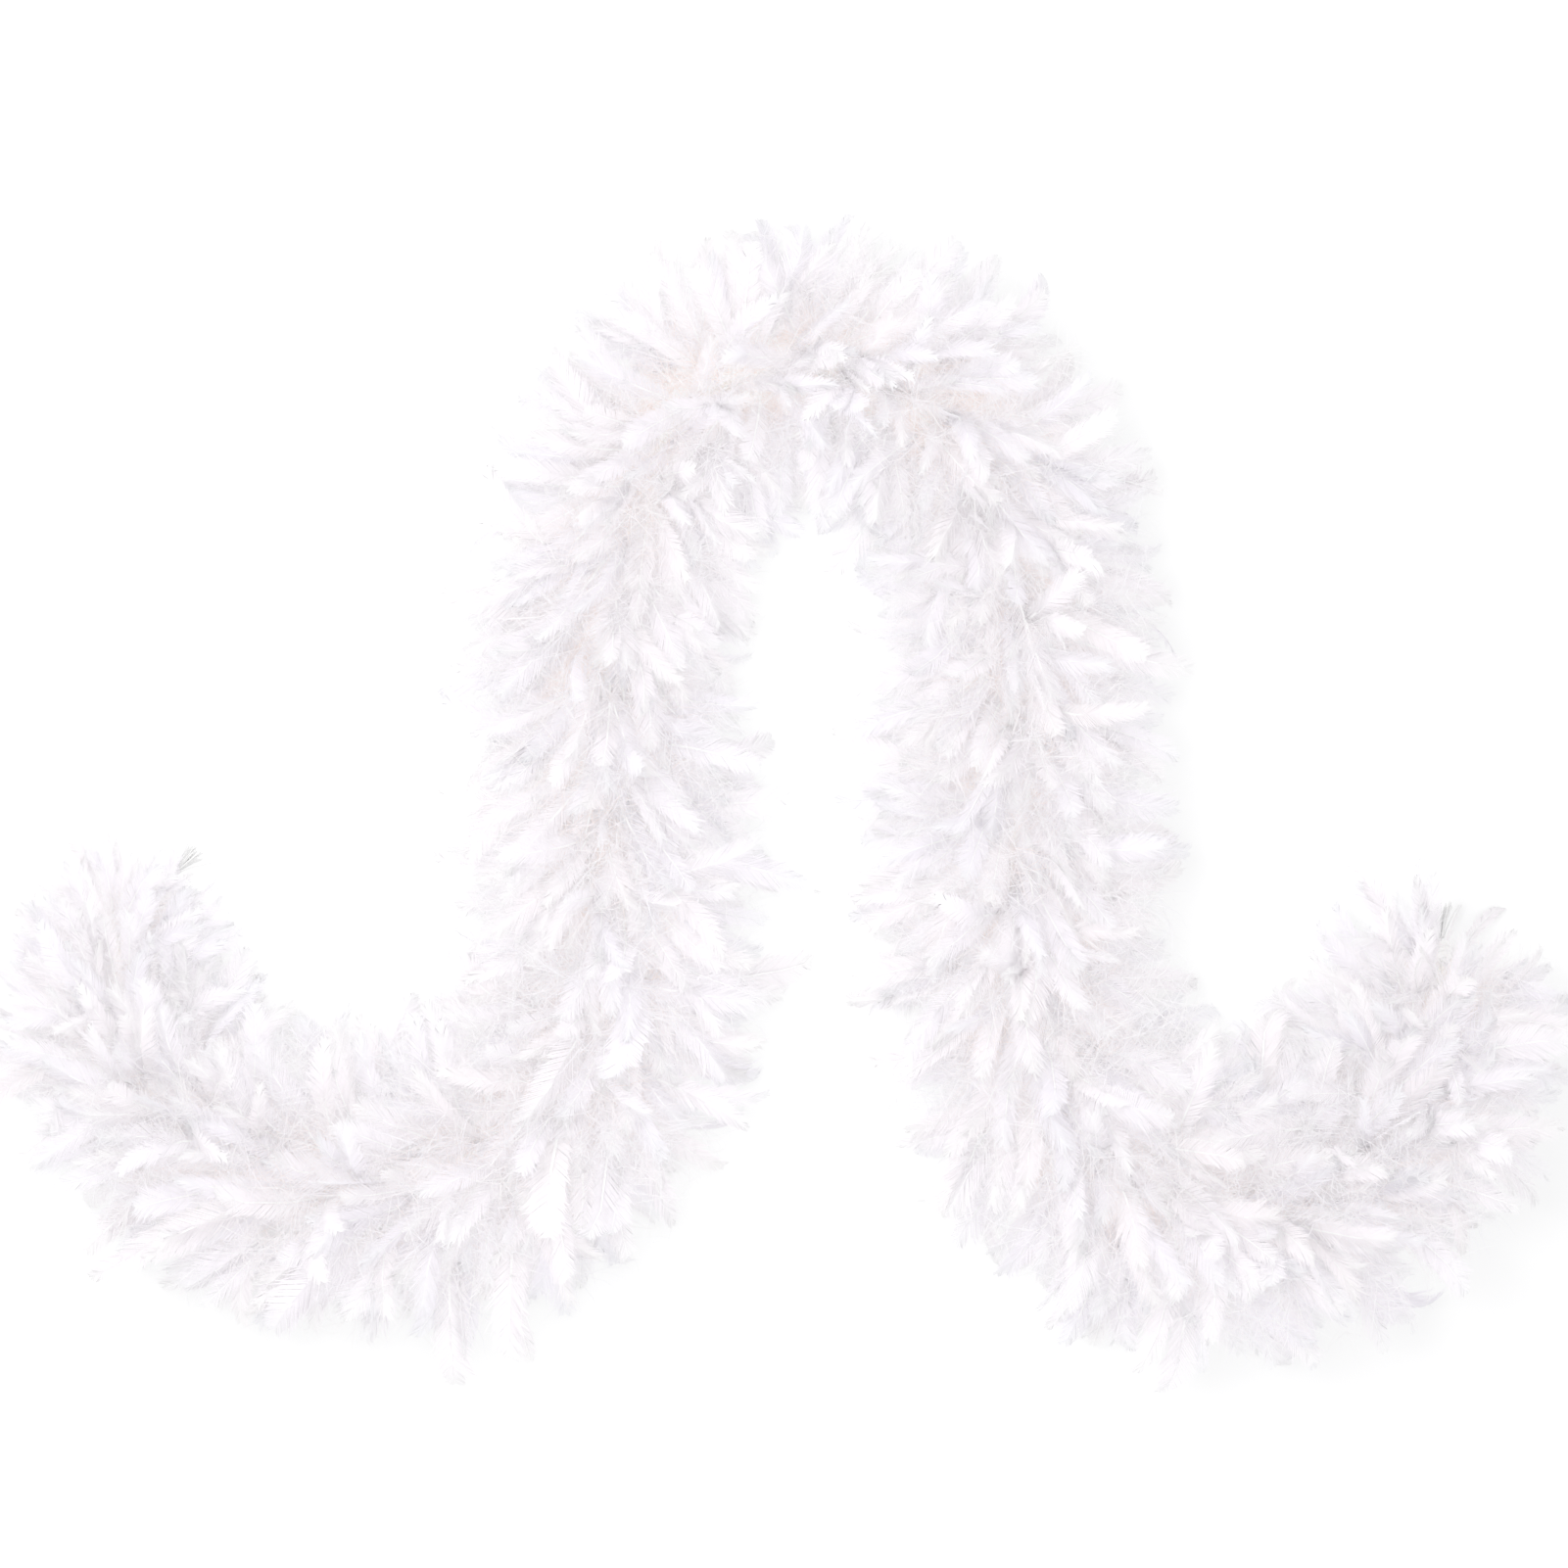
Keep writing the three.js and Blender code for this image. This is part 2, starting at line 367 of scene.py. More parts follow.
class Builder:
    """Adds nodes to a node tree. The values that feed them may be sockets or plain values."""

    def __init__(self, tree):
        self.tree = tree

    def node(self, kind, *values, named=None, **settings):
        """Adds a node with its settings, fed in order by values and by name by named."""
        node = self.tree.nodes.new(kind)
        for setting, value in settings.items():
            setattr(node, setting, value)
        for socket, value in zip(node.inputs, values):
            self.feed(socket, value)
        for label, value in (named or {}).items():
            self.feed(node.inputs[label], value)
        return node

    def feed(self, socket, value):
        if isinstance(value, bpy.types.NodeSocket):
            self.tree.links.new(value, socket)
        else:
            socket.default_value = value

    def math(self, operation, *values):
        return self.node("ShaderNodeMath", *values, operation=operation).outputs[0]

    def plus(self, first, second):
        return self.math("ADD", first, second)

    def minus(self, first, second):
        return self.math("SUBTRACT", first, second)

    def times(self, first, second):
        return self.math("MULTIPLY", first, second)

    def divided(self, first, second):
        return self.math("DIVIDE", first, second)


class Tree(Builder):
    """A Geometry Nodes tree while it is built."""

    def __init__(self, name, **inputs):
        super().__init__(bpy.data.node_groups.new(name, "GeometryNodeTree"))
        self.socket_for("Geometry", "NodeSocketGeometry", in_out="INPUT")
        self.socket_for("Geometry", "NodeSocketGeometry", in_out="OUTPUT")
        for label, kind in inputs.items():
            self.socket_for(label.replace("_", " ").capitalize(), kind, in_out="INPUT")
        self.given = self.tree.nodes.new("NodeGroupInput").outputs

    def socket_for(self, label, kind, in_out):
        self.tree.interface.new_socket(label, in_out=in_out, socket_type=kind)

    def vector(self, operation, *values):
        node = self.node("ShaderNodeVectorMath", *values, operation=operation)
        return node.outputs["Value" if operation in ("LENGTH", "DOT_PRODUCT") else "Vector"]

    def scaled(self, vector, by):
        node = self.node("ShaderNodeVectorMath", vector, operation="SCALE", named={"Scale": by})
        return node.outputs["Vector"]

    def sum(self, *vectors):
        total = vectors[0]
        for vector in vectors[1:]:
            total = self.vector("ADD", total, vector)
        return total

    def mixed(self, share, first, second):
        """The first number at share 0, the second at share 1."""
        step = self.times(share, self.minus(second, first))
        return self.plus(first, step)

    def set_position(self, geometry, **places):
        """The geometry with its points moved: by an offset, or to a position."""
        moved = self.node("GeometryNodeSetPosition", geometry)
        for label, value in places.items():
            self.feed(moved.inputs[label.capitalize()], value)
        return moved.outputs[0]

    def stored(self, geometry, name, value, **settings):
        """The geometry with a value kept on each of its elements under a name."""
        node = self.node(
            "GeometryNodeStoreNamedAttribute", geometry, named={"Name": name}, **settings
        )
        self.feed(node.inputs["Value"], value)
        return node.outputs[0]

    def attribute(self, name, kind="FLOAT"):
        node = self.node("GeometryNodeInputNamedAttribute", name, data_type=kind)
        return node.outputs["Attribute"]

    def without(self, geometry, *names):
        """The geometry without the attributes that only the tree itself needed."""
        for name in names:
            geometry = self.node(
                "GeometryNodeRemoveAttribute", geometry, named={"Name": name}
            ).outputs[0]
        return geometry

    def random(self, low, high, salt, kind="FLOAT"):
        """A random number or vector for each point, the same each time for one seed."""
        node = self.node("FunctionNodeRandomValue", data_type=kind)
        first = {"FLOAT_VECTOR": 0, "FLOAT": 2, "INT": 4}[kind]
        self.feed(node.inputs[first], low)
        self.feed(node.inputs[first + 1], high)
        self.feed(node.inputs["Seed"], self.plus(self.given["Seed"], salt))
        return node.outputs[{"FLOAT_VECTOR": 0, "FLOAT": 1, "INT": 2}[kind]]

    def finish(self, geometry):
        """Ends the tree in Realize Instances, Set Material and the output."""
        realized = self.node("GeometryNodeRealizeInstances", geometry).outputs[0]
        painted = self.node(
            "GeometryNodeSetMaterial", realized, named={"Material": self.given["Material"]}
        )
        self.node("NodeGroupOutput", painted.outputs[0])
        return self.tree


def across_the_cord(tree, tangent):
    """The level sideways direction and the upward direction that are square to the cord."""
    side = tree.vector("NORMALIZE", tree.vector("CROSS_PRODUCT", tangent, (0.0, 0.0, 1.0)))
    return side, tree.vector("CROSS_PRODUCT", side, tangent)


def wound_strand_tree():
    """A round strand that follows a line and winds round it at a radius."""
    tree = Tree(
        "Wound strand", radius="NodeSocketFloat", pitch="NodeSocketFloat", phase="NodeSocketFloat",
        strand_radius="NodeSocketFloat", sides="NodeSocketInt", material="NodeSocketMaterial",
    )  # fmt: skip
    curve = tree.node("GeometryNodeMeshToCurve", tree.given["Geometry"]).outputs[0]
    tangent = tree.node("GeometryNodeInputTangent").outputs[0]
    side, up = across_the_cord(tree, tangent)
    turns = tree.divided(tree.attribute("distance"), tree.given["Pitch"])
    angle = tree.plus(tree.times(turns, math.tau), tree.given["Phase"])
    sideways = tree.times(tree.given["Radius"], tree.math("COSINE", angle))
    upwards = tree.times(tree.given["Radius"], tree.math("SINE", angle))
    offset = tree.sum(tree.scaled(side, sideways), tree.scaled(up, upwards))
    ring = tree.node("GeometryNodeCurvePrimitiveCircle", tree.given["Sides"])
    tree.feed(ring.inputs["Radius"], tree.given["Strand radius"])
    tube = tree.node(
        "GeometryNodeCurveToMesh", tree.set_position(curve, offset=offset),
        named={"Profile Curve": ring.outputs[0], "Fill Caps": True},
    )  # fmt: skip
    return tree.finish(tube.outputs[0])


def soft_limits(tree, height, floor_ease, top, top_ease):
    """A height that eases out against the floor below and against a top above."""
    below = tree.divided(tree.minus(height, floor_ease), floor_ease)
    squashed = tree.times(floor_ease, tree.math("EXPONENT", below))
    under = tree.math("LESS_THAN", height, floor_ease)
    lifted = tree.mixed(under, height, squashed)
    knee = tree.minus(top, top_ease)
    above = tree.divided(tree.minus(knee, height), top_ease)
    eased = tree.minus(top, tree.times(top_ease, tree.math("EXPONENT", above)))
    over = tree.math("GREATER_THAN", height, knee)
    return tree.mixed(over, lifted, eased)


def gathered_in(tree):
    """Where a point lies once feathers that stray far from their root are drawn in towards it."""
    root = tree.attribute("root", "FLOAT_VECTOR")
    place = tree.node("GeometryNodeInputPosition").outputs[0]
    offset = tree.vector("SUBTRACT", place, root)
    distance = tree.vector("LENGTH", offset)
    reach = tree.attribute("reach")
    knee = tree.times(reach, DRAWN_IN_FROM)
    farthest = tree.times(reach, tree.given["Farthest"])
    farthest = tree.math("MINIMUM", farthest, tree.attribute("room"))
    room = tree.minus(farthest, knee)
    beyond = tree.divided(tree.minus(knee, distance), room)
    drawn = tree.minus(1.0, tree.math("EXPONENT", beyond))
    held = tree.plus(knee, tree.times(room, drawn))
    over = tree.math("GREATER_THAN", distance, knee)
    share = tree.divided(tree.mixed(over, distance, held), distance)
    return tree.sum(root, tree.scaled(offset, share))


def ways_out(tree, tangent):
    """The way out from the cord to each feather's root, and how the feather is turned there."""
    side, up = across_the_cord(tree, tangent)
    index = tree.node("GeometryNodeInputIndex").outputs[0]
    # Each feather is a golden angle round from the last, with a few more of them on top.
    spun = tree.plus(tree.times(index, GOLDEN_ANGLE), tree.random(-0.4, 0.4, 1))
    turn = tree.plus(spun, tree.times(tree.math("COSINE", spun), 0.4))
    sideways = tree.math("COSINE", turn)
    upwards = tree.math("SINE", turn)
    risen = tree.math("MAXIMUM", upwards, 0.0)
    out = tree.sum(tree.scaled(side, sideways), tree.scaled(up, upwards))

    # Feathers lie flatter than they are tied, and those on top lean the most.
    height_share = tree.plus(tree.times(risen, 0.28), 0.55)
    raised = tree.times(upwards, height_share)
    flat_out = tree.sum(tree.scaled(side, sideways), tree.scaled(up, raised))
    unruly = tree.plus(tree.attribute("lean"), tree.random(-0.5, 0.5, 7))
    lean = tree.times(unruly, tree.given["Lean"])
    lean = tree.times(lean, tree.plus(tree.times(risen, 0.5), 1.0))
    strayed = tree.random((-1.0, -1.0, -0.5), (1.0, 1.0, 0.5), 2, "FLOAT_VECTOR")
    strayed = tree.scaled(strayed, tree.given["Looseness"])
    aim = tree.sum(flat_out, tree.scaled(tangent, lean), strayed)

    # A vane faces outwards and upwards, more or less.
    rolled = tree.random((-1.0,) * 3, (1.0,) * 3, 3, "FLOAT_VECTOR")
    rolled = tree.scaled(rolled, tree.given["Roll"])
    face = tree.sum(tree.scaled(out, 0.45), (0.0, 0.0, 0.7), rolled)
    turned = tree.node(
        "FunctionNodeAxesToRotation", aim, face, primary_axis="Y", secondary_axis="Z"
    )
    return out, turned.outputs[0]


def picked_feathers(tree, roots, turned):
    """A feather on each root, picked from the patterns, with a size and a tone of its own."""
    patterns = tree.node(
        "GeometryNodeCollectionInfo",
        named={
            "Collection": tree.given["Feathers"],
            "Separate Children": True,
            "Reset Children": True,
        },
    )
    size = tree.divided(tree.attribute("reach"), FULL_REACH)
    varied = tree.random(tree.given["Shortest"], tree.given["Longest"], 4)
    last = tree.minus(tree.given["Kinds"], 1)
    placed = tree.node(
        "GeometryNodeInstanceOnPoints", roots,
        named={
            "Instance": patterns.outputs[0],
            "Pick Instance": True,
            "Instance Index": tree.random(0, last, 5, "INT"),
            "Rotation": turned,
            "Scale": tree.times(size, varied),
        },
    )  # fmt: skip
    toned = tree.stored(
        placed.outputs[0], "tone", tree.random(0.0, 1.0, 6), data_type="FLOAT", domain="INSTANCE"
    )
    return tree.node("GeometryNodeRealizeInstances", toned).outputs[0]


def tied_feathers_tree():
    """Feathers tied by their roots all round a line, leaning along it and eased off the floor."""
    tree = Tree(
        "Tied feathers", feathers="NodeSocketCollection", kinds="NodeSocketInt",
        count="NodeSocketInt", root_radius="NodeSocketFloat", lean="NodeSocketFloat",
        shortest="NodeSocketFloat", longest="NodeSocketFloat", looseness="NodeSocketFloat",
        roll="NodeSocketFloat", farthest="NodeSocketFloat", top="NodeSocketFloat",
        seed="NodeSocketInt", material="NodeSocketMaterial",
    )  # fmt: skip
    curve = tree.node("GeometryNodeMeshToCurve", tree.given["Geometry"]).outputs[0]
    along = tree.node("GeometryNodeCurveToPoints", curve, mode="COUNT")
    tree.feed(along.inputs["Count"], tree.given["Count"])
    out, turned = ways_out(tree, along.outputs["Tangent"])
    roots = tree.set_position(
        along.outputs["Points"], offset=tree.scaled(out, tree.given["Root radius"])
    )
    place = tree.node("GeometryNodeInputPosition").outputs[0]
    roots = tree.stored(roots, "root", place, data_type="FLOAT_VECTOR")
    feathers = picked_feathers(tree, roots, turned)

    gathered = tree.set_position(feathers, position=gathered_in(tree))
    place = tree.node("ShaderNodeSeparateXYZ", tree.node("GeometryNodeInputPosition").outputs[0])
    height = soft_limits(tree, place.outputs["Z"], FLOOR_EASE, tree.given["Top"], TOP_EASE)
    eased = tree.node("ShaderNodeCombineXYZ", place.outputs["X"], place.outputs["Y"], height)
    laid = tree.set_position(gathered, position=eased.outputs[0])
    return tree.finish(tree.without(laid, "root", "room", "reach", "lean", "distance"))


def run_tree(tree, start, **values):
    """The plain mesh that a tree makes from a starting object, which is then removed."""
    modifier = start.modifiers.new("Build", "NODES")
    modifier.node_group = tree
    for item in tree.interface.items_tree:
        key = item.name.lower().replace(" ", "_")
        if item.in_out == "INPUT" and key in values:
            modifier[item.identifier] = values[key]
    start.update_tag()
    depsgraph = bpy.context.evaluated_depsgraph_get()
    mesh = bpy.data.meshes.new_from_object(start.evaluated_get(depsgraph), depsgraph=depsgraph)
    start.modifiers.remove(modifier)
    bpy.data.objects.remove(start)
    return mesh


# ---------------------------------------------------------------- small building helpers


def add_object(name, mesh):
    piece = bpy.data.objects.new(name, mesh)
    bpy.context.scene.collection.objects.link(piece)
    mesh.name = name
    return piece


def joined(meshes):
    """One smooth mesh that holds several, which must share their material and attributes."""
    objects = [add_object("part", mesh) for mesh in meshes]
    with bpy.context.temp_override(
        active_object=objects[0], selected_editable_objects=objects, selected_objects=objects
    ):
        bpy.ops.object.join()
    mesh = objects[0].data
    bpy.data.objects.remove(objects[0])
    shade_smooth(mesh)
    return mesh


def shade_smooth(mesh):
    mesh.polygons.foreach_set("use_smooth", [True] * len(mesh.polygons))


def rail(points, distances):
    """A bare line through points that carries what the trees need to know at each of them."""
    mesh = bpy.data.meshes.new("rail")
    mesh.from_pydata(points, [(i, i + 1) for i in range(len(points) - 1)], [])
    for name, values in (
        ("distance", distances),
        ("reach", [reach_at(distance) for distance in distances]),
        ("room", [room_at(distance) for distance in distances]),
        ("lean", [lean_at(distance) for distance in distances]),
    ):
        mesh.attributes.new(name, "FLOAT", "POINT").data.foreach_set("value", values)
    return add_object("rail", mesh)


def route_rail(start, end, step):
    """A rail along the cord's middle line."""
    return rail(ROUTE.line(start, end, step), spaced(start, end, step))


# ---------------------------------------------------------------- materials


class Finish(Builder):
    """A node material while it is built, on one Principled shader."""

    def __init__(self, name, **constants):
        self.material = bpy.data.materials.new(name)
        self.material.use_nodes = True
        super().__init__(self.material.node_tree)
        self.shader = self.tree.nodes["Principled BSDF"]
        for label, value in constants.items():
            label = label.replace("_", " ").title().replace("Ior", "IOR")
            self.shader.inputs[label].default_value = value

    def object_place(self):
        return self.node("ShaderNodeTexCoord").outputs["Object"]

    def noise(self, place, scale, **details):
        """Noise that is scale times as fine as the places it is read at."""
        named = {"Vector": place, "Scale": scale}
        for label, value in details.items():
            named[label.capitalize()] = value
        return self.node("ShaderNodeTexNoise", named=named).outputs["Fac"]

    def attribute(self, name):
        return self.node("ShaderNodeAttribute", attribute_name=name).outputs["Fac"]

    def ramp(self, share, *stops):
        """A colour for each share, from stops of (place, colour)."""
        node = self.node("ShaderNodeValToRGB", named={"Fac": share})
        while len(node.color_ramp.elements) < len(stops):
            node.color_ramp.elements.new(0.5)
        for element, (place, colour) in zip(node.color_ramp.elements, stops):
            element.position = place
            element.color = (*colour, 1.0)
        return node.outputs["Color"]

    def blend(self, share, first, second, how="MIX"):
        node = self.node("ShaderNodeMix", data_type="RGBA", blend_type=how)
        sockets = (node.inputs[0], node.inputs[6], node.inputs[7])
        for socket, value in zip(sockets, (share, first, second)):
            self.feed(socket, value)
        return node.outputs[2]

    def bump(self, height, strength, distance):
        node = self.node(
            "ShaderNodeBump", named={"Height": height, "Strength": strength, "Distance": distance}
        )
        return node.outputs["Normal"]

    def paint(self, colour, roughness, normal):
        self.feed(self.shader.inputs["Base Color"], colour)
        self.feed(self.shader.inputs["Roughness"], roughness)
        self.feed(self.shader.inputs["Normal"], normal)

    def let_light_through(self, colour, share):
        """Mixes in a Translucent shader, as light shows through a thin vane."""
        through = self.node("ShaderNodeBsdfTranslucent", named={"Color": colour})
        both = self.node("ShaderNodeMixShader", share, self.shader.outputs[0], through.outputs[0])
        self.feed(self.tree.nodes["Material Output"].inputs["Surface"], both.outputs[0])


def shade(colour, factor):
    return tuple(min(1.0, part * factor) for part in colour)


def feather_finish(name, tip, vane, root, root_until, light_through):
    """Soft barbs, each feather a little apart. The warm root is partly the down's own cream and partly
    painted shade deep in the plumage; the grey tip is painted shade at the boa's edges.
    """
    finish = Finish(
        name, sheen_weight=0.25, sheen_roughness=0.5, specular_ior_level=0.25, metallic=0.0
    )
    place = finish.node("ShaderNodeUVMap", uv_map="Vane").outputs[0]
    parts = finish.node("ShaderNodeSeparateXYZ", named={"Vector": place})
    across, along = parts.outputs["X"], parts.outputs["Y"]
    vane_from = root_until + 0.3
    # Painted shade along each feather: the grey tip colour stands in for the shade at the boa's edges,
    # and the warm root colour partly for the warm shade deep in the plumage.
    vane_and_painted_shade = finish.ramp(along, (0.0, root), (root_until, root), (vane_from, vane), (1.0, tip))
    cool, plain, warm = (0.95, 0.955, 0.99), (1.0, 1.0, 1.0), (1.0, 0.985, 0.97)
    varied = finish.ramp(finish.attribute("tone"), (0.0, cool), (0.5, plain), (1.0, warm))
    colour = finish.blend(1.0, vane_and_painted_shade, varied, "MULTIPLY")
    barb_places = finish.node(
        "ShaderNodeMapping", named={"Vector": place, "Scale": (3.0, 150.0, 1.0)}
    )
    barbs = finish.noise(barb_places.outputs[0], 1.0, detail=2.0)
    barred = finish.ramp(barbs, (0.3, (0.96, 0.96, 0.965)), (0.7, plain))
    colour = finish.blend(0.8, colour, barred, "MULTIPLY")
    shaft = finish.attribute("shaft")
    colour = finish.blend(shaft, colour, (0.99, 0.985, 0.98, 1.0))
    roughness = finish.minus(0.82, finish.times(shaft, 0.4))
    height = finish.plus(finish.times(barbs, 0.6), finish.times(across, 0.2))
    finish.paint(colour, roughness, finish.bump(height, 0.15, 0.0004))
    finish.let_light_through(colour, light_through)
    return finish.material


def quill_finish(cream):
    """Ivory quill, glossier than the feather and mottled."""
    finish = Finish("Quill ivory", coat_weight=0.15, coat_roughness=0.3, specular_ior_level=0.5)
    mottle = finish.noise(finish.object_place(), 420.0, detail=3.0)
    colour = finish.ramp(mottle, (0.3, shade(cream, 0.82)), (0.75, shade(cream, 1.08)))
    roughness = finish.plus(finish.times(mottle, 0.25), 0.28)
    finish.paint(colour, roughness, finish.bump(mottle, 0.25, 0.0003))
    return finish.material


def cotton_finish(name, cotton, fibre_scale):
    """Spun cotton: fuzzy, matt and slightly uneven."""
    finish = Finish(name, sheen_weight=0.4, sheen_roughness=0.6, specular_ior_level=0.15)
    fibres = finish.noise(finish.object_place(), fibre_scale, detail=4.0, roughness=0.65)
    colour = finish.ramp(fibres, (0.25, shade(cotton, 0.78)), (0.7, shade(cotton, 1.06)))
    roughness = finish.plus(finish.times(fibres, 0.15), 0.78)
    finish.paint(colour, roughness, finish.bump(fibres, 0.6, 0.0005))
    return finish.material


def floor_finish():
    """A pale matt floor that the camera sees as an even white, and that lights nothing itself."""
    finish = Finish("Studio white", specular_ior_level=0.1)
    seen = finish.node("ShaderNodeLightPath").outputs["Is Camera Ray"]
    finish.feed(finish.shader.inputs["Emission Strength"], finish.times(seen, 0.22))
    finish.feed(finish.shader.inputs["Emission Color"], (1.0, 1.0, 1.0, 1.0))
    grain = finish.noise(finish.object_place(), 40.0)
    colour = finish.ramp(grain, (0.0, (0.61,) * 3), (1.0, (0.63,) * 3))
    roughness = finish.plus(finish.times(grain, 0.1), 0.85)
    finish.paint(colour, roughness, finish.bump(grain, 0.05, 0.001))
    return finish.material


def material(name):
    found = bpy.data.materials.get(name)
    if found is None:
        raise RuntimeError(f"material {name} is missing; make the finishes first")
    return found


# ---------------------------------------------------------------- one feather


class Barbs:
    """The faces of a feather pattern while they are collected, with their place on the vane."""

    def __init__(self):
        self.corners = []
        self.faces = []
        self.places = []
        self.shaft = []

    def ribbon(self, line, widths, across, places, shaft=0.0):
        """A flat strip along a line, as wide as widths, which ends in a point if they reach 0."""
        before = None
        for point, width, place in zip(line, widths, places):
            pair = [point - across * width / 2]
            if width > 0:
                pair.append(point + across * width / 2)
            numbers = []
            for corner in pair:
                numbers.append(len(self.corners))
                self.corners.append(corner)
                self.places.append(place)
                self.shaft.append(shaft)
            if before is not None:
                self.faces.append((*before, *reversed(numbers)))
            before = numbers

    def mesh(self, name):
        mesh = bpy.data.meshes.new(name)
        mesh.from_pydata(self.corners, [], self.faces)
        places = mesh.uv_layers.new(name="Vane").data
        for loop in mesh.loops:
            places[loop.index].uv = self.places[loop.vertex_index]
        mesh.attributes.new("shaft", "FLOAT", "POINT").data.foreach_set("value", self.shaft)
        shade_smooth(mesh)
        return mesh


class Shaft:
    """A feather's curved middle line, in its own frame: root at the origin, tip along +Y."""

    def __init__(self, length, droop, sweep, pieces=24):
        self.points = [Vector((0.0, 0.0, 0.0))]
        self.directions = []
        for i in range(pieces + 1):
            share = i / pieces
            down = droop * share**1.6
            aside = sweep * share**1.3
            way = Vector((math.sin(aside), math.cos(aside) * math.cos(down), -math.sin(down)))
            self.directions.append(way.normalized())
            self.points.append(self.points[-1] + way.normalized() * length / pieces)
        self.pieces = pieces

    def at(self, share):
        place = share * self.pieces
        i = min(int(place), self.pieces - 1)
        return self.points[i].lerp(self.points[i + 1], place - i)

    def direction(self, share):
        return self.directions[min(round(share * self.pieces), self.pieces)]


# Where the vane starts and ends, as a share of the way up the shaft.
VANE_FOOT = 0.26
VANE_TOP = 0.985
# How many barbs a side of the vane has, and into how many locks they part.
BARBS = 50
LOCKS = 7


def vane_half_width(share, widest, point):
    """How far the vane stands out from the shaft. A greater point makes a sharper tip."""
    return widest * max(0.1, 1 - abs((share - 0.45) / 0.57) ** 2.2) ** point


class VaneSide:
    """One side of a feather's vane, which knows where each barb lies."""

    def __init__(self, shaft, side, width, cup, fullness, rng):
        self.shaft = shaft
        self.out = Vector((side, 0, 0))
        self.side = side
        self.half_width = width / 2
        self.cup = cup
        self.point = rng.uniform(0.55, 1.0)
        self.fullness = fullness
        self.locks = [(rng.gauss(0, 0.05), rng.gauss(0, 0.05)) for _ in range(LOCKS + 1)]

    def barb(self, share, out_share):
        """The place on the vane at a share of the way up it and a share of the way along a barb."""
        root_share = VANE_FOOT + (VANE_TOP - VANE_FOOT) * share
        lift, turn = self.locks[int(share * LOCKS)]
        angle = math.radians(50 - 32 * share**2)
        way = self.shaft.direction(root_share)
        normal = self.out.cross(way).normalized() * self.side
        bent = angle * (1 - 0.25 * out_share) + turn * out_share
        length = vane_half_width(share, self.half_width, self.point) / math.sin(angle)
        raised = (lift - self.cup) * out_share
        along = way * math.cos(bent) + self.out * math.sin(bent) + normal * raised
        return self.shaft.at(root_share) + along * length * out_share


def add_vane(barbs, side, rng):
    """The barbs of one side of the vane, in locks that part a little from their neighbours."""
    spacing = shaft_length(side.shaft) * (VANE_TOP - VANE_FOOT) / BARBS
    for number in range(BARBS):
        share = (number + rng.uniform(0.3, 0.7)) / BARBS
        reach = rng.uniform(0.88, 1.04) + 0.4 * max(0.0, rng.gauss(-0.4, 0.7))
        tip = side.barb(share, reach)
        tip += Vector((rng.gauss(0, 0.0010), rng.gauss(0, 0.0010), rng.gauss(0, 0.0014)))
        full = spacing * side.fullness
        widths = [full * rng.uniform(0.9, 1.1), full * rng.uniform(0.75, 1.05), 0.0]
        places = [(0.0, share), (0.6, share), (1.0, share)]
        line = [side.barb(share, 0.0), side.barb(share, 0.62), tip]
        barbs.ribbon(line, widths, side.shaft.direction(share), places)


def shaft_length(shaft):
    return sum((far - near).length for near, far in zip(shaft.points, shaft.points[1:]))


def add_hairs(barbs, shaft, count, shares, length, width, rng):
    """Loose soft barbs that leave the shaft any way and wander as they go."""
    for _ in range(count):
        root_share = rng.uniform(*shares)
        way = shaft.direction(root_share)
        aside = Vector((rng.uniform(-1, 1), rng.uniform(-0.1, 0.5), rng.gauss(0, 0.55))).normalized()
        step = (way * 0.5 + aside).normalized()
        size = length * rng.uniform(0.6, 1.2)
        line = [shaft.at(root_share)]
        for _ in range(2):
            wander = Vector((rng.gauss(0, 0.3), rng.gauss(0.05, 0.25), rng.gauss(-0.05, 0.3)))
            step = (step + wander).normalized()
            line.append(line[-1] + step * size / 2)
        across = step.cross(Vector((rng.gauss(0, 0.3), rng.gauss(0, 0.3), 1))).normalized()
        places = [(0.5 * i, root_share) for i in range(3)]
        barbs.ribbon(line, [width, width * 0.8, 0.0], across, places)


def plume_pattern(name, sizes, rng):
    """A vaned feather: bare quill, fluffy foot, vane of parted locks and a raised shaft."""
    length = sizes.feather_length
    shaft = Shaft(length, droop=rng.uniform(-0.1, 1.1), sweep=rng.uniform(-0.6, 0.6))
    width = sizes.feather_width * rng.uniform(0.8, 1.15)
    cup = rng.uniform(-0.15, 0.5)
    fullness = rng.uniform(0.65, 1.1)
    barbs = Barbs()
    for side in (-1, 1):
        add_vane(barbs, VaneSide(shaft, side, width, cup, fullness, rng), rng)
    add_hairs(barbs, shaft, 12, (0.08, 0.40), length * 0.24, 0.0004, rng)
    add_hairs(barbs, shaft, 8, (0.5, 0.99), length * 0.15, 0.00028, rng)
    stations = [0.0, 0.25, 0.5, 0.75, 0.97]
    line = [shaft.at(share) + Vector((0, 0, 0.0006)) for share in stations]
    thickness = [0.0018, 0.0016, 0.0013, 0.0009, 0.0003]
    barbs.ribbon(line, thickness, Vector((1, 0, 0)), [(0.0, share) for share in stations], 1.0)
    return barbs.mesh(name)


def down_pattern(name, sizes, rng):
    """A tuft of down: soft barbs all round a short weak shaft."""
    length = sizes.feather_length * 0.6
    shaft = Shaft(length, droop=rng.uniform(-0.4, 0.8), sweep=rng.uniform(-0.6, 0.6))
    barbs = Barbs()
    add_hairs(barbs, shaft, 40, (0.10, 1.0), length * 0.48, 0.00034, rng)
    return barbs.mesh(name)


PLUME_PATTERNS = "plume_patterns"
DOWN_PATTERNS = "down_patterns"
PLUME_KINDS = 12
DOWN_KINDS = 5


